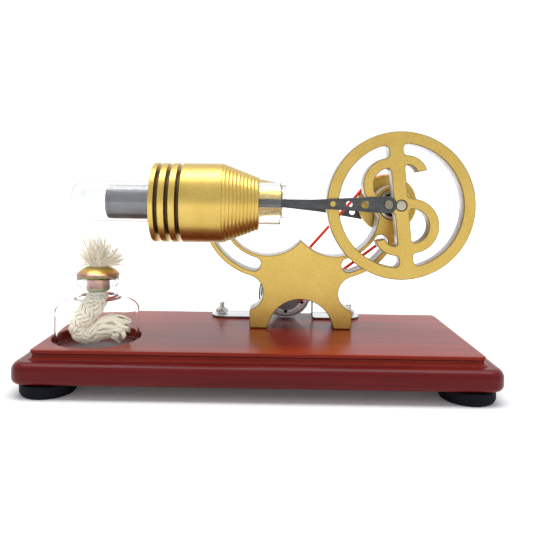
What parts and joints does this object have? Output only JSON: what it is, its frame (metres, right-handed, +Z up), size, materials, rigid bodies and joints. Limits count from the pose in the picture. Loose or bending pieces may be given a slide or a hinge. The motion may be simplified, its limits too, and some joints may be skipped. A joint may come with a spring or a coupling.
{
  "type": "stirling engine model",
  "caption": "Desk model of a hot-air engine: glass hot tube, finned gold cooler, spoked flywheel, belt-driven generator and spirit lamp on a wooden base.",
  "frame": {"origin": "centre of the base on the surface that the rubber feet stand on", "axes": "+X along the base from the lamp to the flywheel, +Y from the flywheel side to the generator side, +Z up"},
  "size_m": [0.2616, 0.116, 0.1466],
  "materials": {
    "lacquered_wood": "glossy red-brown lacquer over fine grain",
    "gold_anodised": "satin gold anodised",
    "black_rubber": "matt black",
    "bright_steel": "bright turned",
    "grey_steel": "satin grey",
    "dark_steel": "blackened satin steel",
    "chrome": "polished",
    "clear_glass": "clear blown glass",
    "brass": "turned",
    "zinc_plate": "yellow iridescent zinc plating",
    "cotton": "undyed braided cotton",
    "red_rubber": "smooth red",
    "graphite": "turned graphite",
    "fibre": "pressed fibre"
  },
  "bodies": {
    "frame": {"base_board": "lacquered_wood", "bearing_outer_front": "bright_steel", "bearing_outer_rear": "bright_steel", "bearing_shield_front": "black_rubber", "bearing_shield_rear": "black_rubber", "cooler": "gold_anodised", "drive_belt": "red_rubber", "foot_screw_1": "bright_steel", "foot_screw_2": "bright_steel", "foot_screw_3": "bright_steel", "foot_screw_4": "bright_steel", "frame_plate": "gold_anodised", "frame_screw_left": "bright_steel", "frame_screw_right": "bright_steel", "gasket_front": "fibre", "gasket_rear": "fibre", "generator_can": "bright_steel", "generator_face": "bright_steel", "generator_magnet": "black_rubber", "generator_strap": "chrome", "hot_tube": "clear_glass", "power_glass": "clear_glass", "power_head": "bright_steel", "power_jacket": "gold_anodised", "rod_guide": "bright_steel", "rod_guide_bush": "brass", "rubber_foot_1": "black_rubber", "rubber_foot_2": "black_rubber", "rubber_foot_3": "black_rubber", "rubber_foot_4": "black_rubber", "strap_bolt_left": "bright_steel", "strap_bolt_right": "bright_steel", "strap_nut_left": "bright_steel", "strap_nut_right": "bright_steel", "transfer_stud": "brass"},
    "crank": {"bearing_inner_front": "bright_steel", "bearing_inner_rear": "bright_steel", "crank_disc": "gold_anodised", "crankshaft": "bright_steel", "disc_spacer": "bright_steel", "flywheel": "gold_anodised", "flywheel_spacer": "bright_steel", "front_crank_pin": "bright_steel"},
    "front_rod": {"front_rod": "dark_steel", "front_wrist_pin": "bright_steel"},
    "displacer": {"displacer": "grey_steel", "displacer_plug": "bright_steel", "displacer_rod": "bright_steel"},
    "power_piston": {"power_piston": "graphite", "power_wrist_pin": "bright_steel"},
    "rear_rod": {"rear_rod": "dark_steel", "rear_crank_pin": "bright_steel"},
    "generator_rotor": {"generator_armature": "brass", "generator_shaft": "bright_steel", "generator_pulley": "grey_steel"},
    "lamp": {"lamp_bottle": "clear_glass", "lamp_cap": "zinc_plate", "wick_holder": "zinc_plate", "wick": "cotton"}
  },
  "joints": [
    {"name": "flywheel_spin", "type": "hinge", "parent": "frame", "child": "crank", "pos_m": [0.0834, 0, 0.1026], "axis": [0, 1, 0], "continuous": true},
    {"name": "front_rod_pivot", "type": "hinge", "parent": "crank", "child": "front_rod", "pos_m": [0.07531, -0.01705, 0.10295], "axis": [0, 1, 0], "continuous": true},
    {"name": "generator_spin", "type": "hinge", "parent": "frame", "child": "generator_rotor", "pos_m": [0.0172, 0, 0.0412], "axis": [0, 1, 0], "continuous": true},
    {"name": "displacer_slide", "type": "slide", "parent": "frame", "child": "displacer", "axis": [1, 0, 0], "range_m": [0, 0.0162]},
    {"name": "piston_slide", "type": "slide", "parent": "frame", "child": "power_piston", "axis": [1, 0, 0], "range_m": [-0.011, 0.007]},
    {"name": "rear_rod_swing", "type": "hinge", "parent": "power_piston", "child": "rear_rod", "pos_m": [0.00143, 0.0373, 0.1026], "axis": [0, 1, 0], "range_deg": [-12.2, 0]},
    {"name": "lamp_lift", "type": "slide", "parent": "frame", "child": "lamp", "axis": [0, 0, 1], "range_m": [0, 0.004]}
  ],
  "couplings": [
    {"joint": "front_rod_pivot", "follows": "flywheel_spin", "ratio": -1},
    {"joint": "generator_spin", "follows": "flywheel_spin", "ratio": 2.0556}
  ]
}
